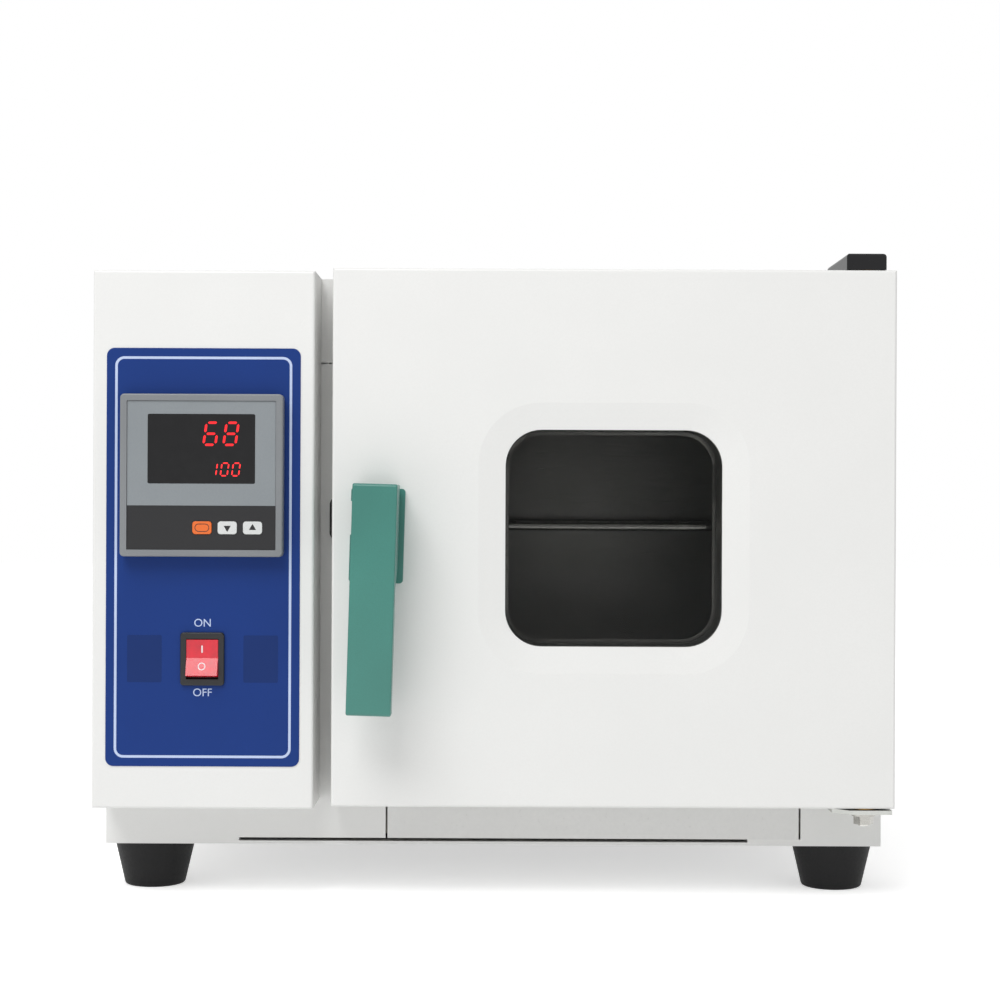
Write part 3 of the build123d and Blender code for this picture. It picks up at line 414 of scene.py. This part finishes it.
class OVEN_OT_sheet_metal(bpy.types.Operator):
    """Coat the cabinet, box and door"""

    bl_idname = "oven.sheet_metal"
    bl_label = "Sheet Metal"

    def execute(self, context):
        coat = context.scene.oven_colours.coat
        # Powder coat on steel: sprayed and baked, with a faint orange peel 1.2 mm across.
        powder = finish_material(
            "powder_coat_sprayed", coat, 0.36, 1.2, 0.10, 0.06, 0.008, spread=0.04, IOR=1.5
        )
        # The strip under the door has the same coat, laid on thicker, so its peel is deeper; its
        # colour is set 2.5 % darker.
        heavy = finish_material(
            "powder_coat_heavy_peel", shade(coat, 0.975), 0.34, 2.2, 0.35, 0.12, 0.01, IOR=1.5
        )
        # Mild steel left with its zinc plating: cool grey with a slight crystal pattern.
        zinc = finish_material(
            "zinc_plated_steel", "#C7C8C4", 0.36, 3.0, 0.08, 0.02, 0.06, Metallic=1.0
        )
        # Stainless sheet, brushed along its width: streaks 0.4 mm apart.
        brushed = finish_material(
            "stainless_steel_brushed", "#B9B8B3", 0.34, 0.4, 0.2, 0.02, 0.07, (0.03, 1, 1),
            Metallic=1.0,
        )
        # Bright drawn wire and tube: smooth, with fine drawing marks along it.
        drawn = finish_material(
            "stainless_steel_drawn", "#D2D1CC", 0.2, 0.6, 0.1, 0.01, 0.04, (1, 0.05, 1),
            Metallic=1.0,
        )
        dress(
            powder, "cabinet_shell", "back_panel", "base_plate", "foot_rails", "front_header",
            "left_front_panel", "right_front_panel", "control_box_cover", "door_outer_skin",
        )
        dress(heavy, "front_sill")
        dress(
            zinc, "lower_hinge_plate", "upper_hinge_plate", "upper_hinge_pin", "partition_wall",
            "foot_screws", "fixing_screws", "handle_pin", "latch_tail", "window_liner",
            "switch_terminals",
        )
        dress(brushed, "chamber_liner", "door_inner_panel", "heater_cover", "shelf_rails")
        dress(drawn, "shelf", "heating_elements", "temperature_probe", "lower_hinge_pin")
        # Nut and washer, turned and nickel plated: bright, a little darker than the plate.
        nickel = finish_material(
            "nickel_plated_steel", "#B4B3AE", 0.28, 1.0, 0.1, 0.03, 0.05, Metallic=1.0
        )
        dress(nickel, "lower_hinge_nut")
        # Sintered bronze bush: porous and brown gold.
        bronze = finish_material(
            "sintered_bronze", "#A98552", 0.45, 0.5, 0.3, 0.03, 0.12, Metallic=1.0
        )
        dress(bronze, "hinge_bushes")
        # Ceramic fibre wool: matt and off-white, with matted fibres 1.5 mm apart.
        wool = finish_material(
            "ceramic_fibre_wool", "#E4E1D6", 0.95, 1.5, 0.8, 0.6, 0.08, (1, 1, 0.3)
        )
        dress(wool, "insulation_wrap", "door_insulation")
        return {"FINISHED"}


class OVEN_OT_mouldings(bpy.types.Operator):
    """Finish the plastic, rubber and glass pieces"""

    bl_idname = "oven.mouldings"
    bl_label = "Mouldings, Rubber and Glass"

    def execute(self, context):
        colours = context.scene.oven_colours
        # Moulded handle in filled nylon: satin, with a mould texture 0.6 mm across.
        nylon = finish_material(
            "nylon_moulded_satin", colours.handle, 0.36, 0.6, 0.15, 0.04, 0.05, IOR=1.53,
            Coat_Weight=0.15,
        )
        dress(nylon, "handle_grip", "handle_base")
        # Natural rubber feet: matt black with a fine dusty bloom.
        rubber = finish_material(
            "rubber_moulded_black", "#101011", 0.62, 1.4, 0.3, 0.05, 0.15, IOR=1.52,
            Specular_IOR_Level=0.3,
        )
        dress(
            rubber, "foot_front_left", "foot_front_right", "foot_back_left", "foot_back_right",
            "glass_seal",
        )
        # Silicone door seal: soft off-white with a slight sheen.
        silicone = finish_material(
            "silicone_extruded", "#D9D8D2", 0.5, 1.2, 0.1, 0.04, 0.03, IOR=1.41
        )
        dress(silicone, "door_gasket")
        # Gloss ABS: polished mould, with a barely visible ripple.
        gloss = finish_material(
            "abs_polished_black", "#141416", 0.12, 6.0, 0.05, 0.03, 0.08, spread=0.03, IOR=1.54
        )
        dress(gloss, "hinge_cover", "display_window", "vent_cap", "vent_neck")
        # Black ABS with a fine spark-eroded texture, 0.5 mm across.
        black = finish_material(
            "abs_textured_black", "#17171A", 0.38, 0.5, 0.2, 0.03, 0.1, IOR=1.54
        )
        dress(
            black, "key_strip", "controller_case", "switch_housing", "latch_strike",
            "cable_gland", "heater_relay",
        )
        # Grey ABS of the instrument's frame and face, textured in the mould.
        grey = finish_material(
            "abs_textured_grey", "#84878A", 0.4, 0.5, 0.15, 0.03, 0.04, IOR=1.54
        )
        dress(grey, "controller_bezel")
        face = finish_material(
            "abs_printed_grey_face", "#8B9195", 0.45, 0.5, 0.1, 0.02, 0.03, IOR=1.54
        )
        dress(face, "controller_face")
        # Silicone-feel keys, printed in orange and white.
        orange = finish_material(
            "key_cap_orange", "#EE7330", 0.42, 0.4, 0.1, 0.02, 0.03, IOR=1.5
        )
        dress(orange, "key_set")
        ivory = finish_material(
            "key_cap_white", "#DEE0DF", 0.42, 0.4, 0.1, 0.02, 0.03, IOR=1.5
        )
        dress(ivory, "key_down", "key_up")
        # Polyester film, screen printed on its back: matt blue with a fine tooth.
        film = finish_material(
            "polyester_film_printed", colours.film, 0.5, 0.5, 0.1, 0.02, 0.03, IOR=1.5,
            Specular_IOR_Level=0.25,
        )
        dress(film, "panel_overlay")
        # Clear red polycarbonate with a lamp behind it.
        red = finish_material(
            "polycarbonate_red_lit", "#C21428", 0.14, 5.0, 0.05, 0.02, 0.15, spread=0.03,
            IOR=1.58, Emission_Strength=0.25, Emission_Color=linear("#E02038"),
        )
        dress(red, "switch_rocker")
        # Tempered float glass: polished, with two clean reflecting faces, thin, so what lies
        # behind it shows straight through. Both panes' near-black tint is painted shade on the
        # chamber, the outer most.
        glass = finish_material(
            "float_glass_painted_shade_tint", "#040606", 0.05, 40.0, 0.0, 0.02, 0.05, spread=0.02,
            IOR=1.52, Alpha=0.3, Specular_IOR_Level=0.22,
        )
        clear = finish_material(
            "float_glass_clear", "#060A09", 0.05, 40.0, 0.0, 0.02, 0.05, spread=0.02,
            IOR=1.52, Alpha=0.1, Specular_IOR_Level=0.2,
        )
        dress(clear, "inner_glass")
        dress(glass, "outer_glass")
        return {"FINISHED"}


class OVEN_OT_panel_print(bpy.types.Operator):
    """Print the light line, blank squares and switch words on the film"""

    bl_idname = "oven.panel_print"
    bl_label = "Panel Print"

    def execute(self, context):
        sizes, colours = context.scene.oven_sizes, context.scene.oven_colours
        # Screen-printed ink: thin, matt and slightly uneven at its edge.
        ink = finish_material(
            "screen_ink_pale", colours.line, 0.5, 0.4, 0.1, 0.01, 0.03, IOR=1.5
        )
        dark = finish_material(
            "screen_ink_dark_blue", shade(colours.film, 0.86), 0.5, 0.4, 0.1, 0.01, 0.03,
            IOR=1.5, Specular_IOR_Level=0.25,
        )
        cx, _, cz = middle(OVERLAY_LOW, OVERLAY_HIGH)
        y = OVERLAY_LOW[1]
        width = OVERLAY_HIGH[0] - OVERLAY_LOW[0] - 2 * sizes.border_inset
        height = OVERLAY_HIGH[2] - OVERLAY_LOW[2] - 2 * sizes.border_inset
        outline_band(
            "panel_border", cx, cz, (width, height), BORDER_RADIUS, sizes.border_width, y,
            PRINT_THICKNESS, ink, "cabinet",
        )
        switch_low, switch_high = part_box("switch_housing")
        sx, _, sz = middle(switch_low, switch_high)
        for side, word in ((-1, "left"), (1, "right")):
            spot = rounded_outline(sx + side * SQUARE_ASIDE, sz, *SQUARE_SIZE, SQUARE_RADIUS)
            plate(
                "panel_blank_" + word, spot, y, PRINT_THICKNESS, dark, "cabinet",
            )
        above = switch_high[2] + ON_ABOVE_SWITCH
        below = switch_low[2] - OFF_BELOW_SWITCH
        for word, z in (("ON", above), ("OFF", below)):
            letters(
                "panel_word_" + word.lower(), word, sx, z, sizes.letter_height, y, ink,
                "cabinet",
            )
        return {"FINISHED"}


class OVEN_OT_display(bpy.types.Operator):
    """Light the digits and mark the keys"""

    bl_idname = "oven.display"
    bl_label = "Display and Key Marks"

    def execute(self, context):
        sizes = context.scene.oven_sizes
        # Red light-emitting segments behind a smoked window.
        lit = finish_material(
            "led_segment_red", "#E81A22", 0.4, 0.8, 0.02, 0.01, 0.03,
            Emission_Color=linear("#F01820"), Emission_Strength=0.8,
        )
        bright = finish_material(
            "led_segment_bright_red", "#F6282C", 0.4, 0.8, 0.02, 0.01, 0.03,
            Emission_Color=linear("#FF2A2C"), Emission_Strength=1.0,
        )
        cx, _, cz = middle(DISPLAY_LOW, DISPLAY_HIGH)
        y = DISPLAY_LOW[1]
        lit_digits(
            "digit_measured", sizes.measured, cx + UPPER_DIGITS[0], cz + UPPER_DIGITS[1],
            sizes.digit_height, sizes.digit_lean, y, lit,
        )
        lit_digits(
            "digit_set", sizes.wanted, cx + LOWER_DIGITS[0], cz + LOWER_DIGITS[1],
            sizes.set_digit_height, sizes.digit_lean, y, bright,
        )
        mark = finish_material(
            "pad_ink_black", "#202022", 0.5, 0.4, 0.1, 0.01, 0.05, IOR=1.5
        )
        for key, way in (("key_down", -1), ("key_up", 1)):
            low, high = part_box(key)
            x, _, z = middle(low, high)
            turns = way * math.pi / 2 + np.arange(3) * 2 * math.pi / 3
            outline = np.column_stack([
                x + ARROW_RADIUS * np.cos(turns), z + ARROW_RADIUS * np.sin(turns),
            ])
            plate(key + "_arrow", outline, low[1], PRINT_THICKNESS, mark, key)
        low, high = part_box("key_set")
        x, _, z = middle(low, high)
        outline_band(
            "key_set_oval", x, z, OVAL_SIZE, OVAL_RADIUS, OVAL_LINE, low[1], PRINT_THICKNESS,
            mark, "key_set",
        )
        return {"FINISHED"}


def lay_on(piece, node):
    """Moves a flat piece made at depth 0 onto the front face of a CAD node."""
    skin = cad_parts[node].data
    tree = BVHTree.FromPolygons([v.co for v in skin.vertices], [p.vertices for p in skin.polygons])
    for vertex in piece.data.vertices:
        hit = tree.ray_cast((vertex.co.x, -1.0, vertex.co.z), (0, 1, 0))[0]
        vertex.co.y += hit.y


class OVEN_OT_rocker_marks(bpy.types.Operator):
    """Mark the rocker with a bar and a ring"""

    bl_idname = "oven.rocker_marks"
    bl_label = "Rocker Marks"

    def execute(self, context):
        white = finish_material(
            "pad_ink_white", "#F4E6E8", 0.4, 0.4, 0.1, 0.01, 0.03, IOR=1.5
        )
        x, _, z = middle(ROCKER_LOW, ROCKER_HIGH)
        bar = plate(
            "rocker_bar", rounded_outline(x, z + BAR_ABOVE_MIDDLE, *BAR_SIZE, BAR_RADIUS),
            MARK_SUNK, PRINT_THICKNESS + MARK_SUNK, white, "switch_rocker",
        )
        ring = outline_band(
            "rocker_ring", x, z - RING_BELOW_MIDDLE, (RING_DIAMETER, RING_DIAMETER), RING_RADIUS,
            RING_LINE, MARK_SUNK, PRINT_THICKNESS + MARK_SUNK, white, "switch_rocker",
        )
        for mark in (bar, ring):
            lay_on(mark, "switch_rocker")
        return {"FINISHED"}


def whiten_floor(paper, lift):
    """Adds a plain glow to the floor for the camera, glass and mirrors, so it shows white."""
    tree = paper.node_tree
    path = add_node(tree, "ShaderNodeLightPath")
    sharp = add_node(tree, "ShaderNodeMath", {"operation": "MAXIMUM"}, {
        0: path.outputs["Is Camera Ray"], 1: path.outputs["Is Glossy Ray"],
    })
    seen = add_node(tree, "ShaderNodeMath", {"operation": "MAXIMUM"}, {
        0: sharp.outputs[0], 1: path.outputs["Is Transmission Ray"],
    })
    glow = add_node(tree, "ShaderNodeMath", {"operation": "MULTIPLY"}, {
        0: seen.outputs[0], 1: lift,
    })
    shader = tree.nodes["Principled BSDF"]
    shader.inputs["Emission Color"].default_value = (1, 1, 1, 1)
    tree.links.new(glow.outputs[0], shader.inputs["Emission Strength"])


class OVEN_OT_studio(bpy.types.Operator):
    """Set the floor, the light and the camera"""

    bl_idname = "oven.studio"
    bl_label = "Studio"

    def execute(self, context):
        studio = context.scene.oven_studio
        reach = studio.floor_half
        mesh = bpy.data.meshes.new("floor")
        corners = [(-reach, -reach, 0), (reach, -reach, 0), (reach, reach, 0), (-reach, reach, 0)]
        mesh.from_pydata(corners, [], [(0, 1, 2, 3)])
        floor = bpy.data.objects.new("floor", mesh)
        context.scene.collection.objects.link(floor)
        paper = finish_material("studio_paper_white", "#FAFAFA", 0.9, 8.0, 0.02, 0.02, 0.004)
        mesh.materials.append(paper)
        whiten_floor(paper, studio.floor_lift)

        world = bpy.data.worlds.new("studio_room")
        world.use_nodes = True
        tree = world.node_tree
        tree.nodes.clear()
        path = add_node(tree, "ShaderNodeLightPath")
        seen = add_node(tree, "ShaderNodeMath", {"operation": "MAXIMUM"}, {
            0: path.outputs["Is Camera Ray"], 1: path.outputs["Is Transmission Ray"],
        })
        strength = add_node(tree, "ShaderNodeMapRange", None, {
            "Value": seen.outputs[0], "To Min": studio.sky, "To Max": 1.0,
        })
        light = add_node(tree, "ShaderNodeBackground", None, {
            "Color": (1, 1, 1, 1), "Strength": strength.outputs["Result"],
        })
        add_node(tree, "ShaderNodeOutputWorld", None, {"Surface": light.outputs[0]})
        context.scene.world = world

        lamp = bpy.data.lights.new("key", "AREA")
        lamp.shape, lamp.size, lamp.energy = "SQUARE", 1.4, studio.key_power
        key = bpy.data.objects.new("key", lamp)
        key.location = (-0.7, -1.5, 2.1)
        aim = np.array([0.0, 0.0, 0.15]) - np.array(key.location)
        tip = math.atan2(math.hypot(aim[0], aim[1]), -aim[2])
        key.rotation_euler = (tip, 0, math.atan2(aim[1], aim[0]) - math.pi / 2)
        context.scene.collection.objects.link(key)

        view = bpy.data.cameras.new("photo_view")
        view.lens, view.sensor_width = studio.lens, 36.0
        camera = bpy.data.objects.new("photo_view", view)
        camera.location = (
            studio.camera_x, DOOR_LOW[1] - studio.camera_distance, studio.camera_height
        )
        camera.rotation_euler = (math.pi / 2, -studio.camera_roll, 0)
        context.scene.collection.objects.link(camera)
        context.scene.camera = camera
        context.scene.view_settings.view_transform = "Standard"
        return {"FINISHED"}


class OVEN_PT_panel(bpy.types.Panel):
    """Lists the steps in the 3D view's sidebar"""

    bl_idname = "OVEN_PT_panel"
    bl_label = "Drying Oven"
    bl_space_type = "VIEW_3D"
    bl_region_type = "UI"
    bl_category = "Oven"

    def draw(self, context):
        for operator in OPERATORS:
            self.layout.operator(operator.bl_idname)
        for group in ("oven_sizes", "oven_colours", "oven_studio"):
            settings = getattr(context.scene, group)
            for key in settings.__annotations__:
                self.layout.prop(settings, key)


OPERATORS = (
    OVEN_OT_sheet_metal, OVEN_OT_mouldings, OVEN_OT_panel_print, OVEN_OT_display,
    OVEN_OT_rocker_marks, OVEN_OT_studio,
)
GROUPS = {"oven_sizes": OvenSizes, "oven_colours": OvenColours, "oven_studio": OvenStudio}


def register():
    """Registers the settings, the steps and the panel."""
    for name, group in GROUPS.items():
        bpy.utils.register_class(group)
        setattr(bpy.types.Scene, name, bpy.props.PointerProperty(type=group))
    for part in (*OPERATORS, OVEN_PT_panel):
        bpy.utils.register_class(part)


def unregister():
    """Takes the panel, the steps and the settings away again."""
    for part in (OVEN_PT_panel, *reversed(OPERATORS)):
        bpy.utils.unregister_class(part)
    for name, group in GROUPS.items():
        delattr(bpy.types.Scene, name)
        bpy.utils.unregister_class(group)


def main():
    """Builds the finished oven."""
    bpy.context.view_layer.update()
    register()
    bpy.ops.oven.sheet_metal()
    bpy.ops.oven.mouldings()
    bpy.ops.oven.panel_print()
    bpy.ops.oven.display()
    bpy.ops.oven.rocker_marks()
    bpy.ops.oven.studio()


if __name__ == "__main__":
    main()
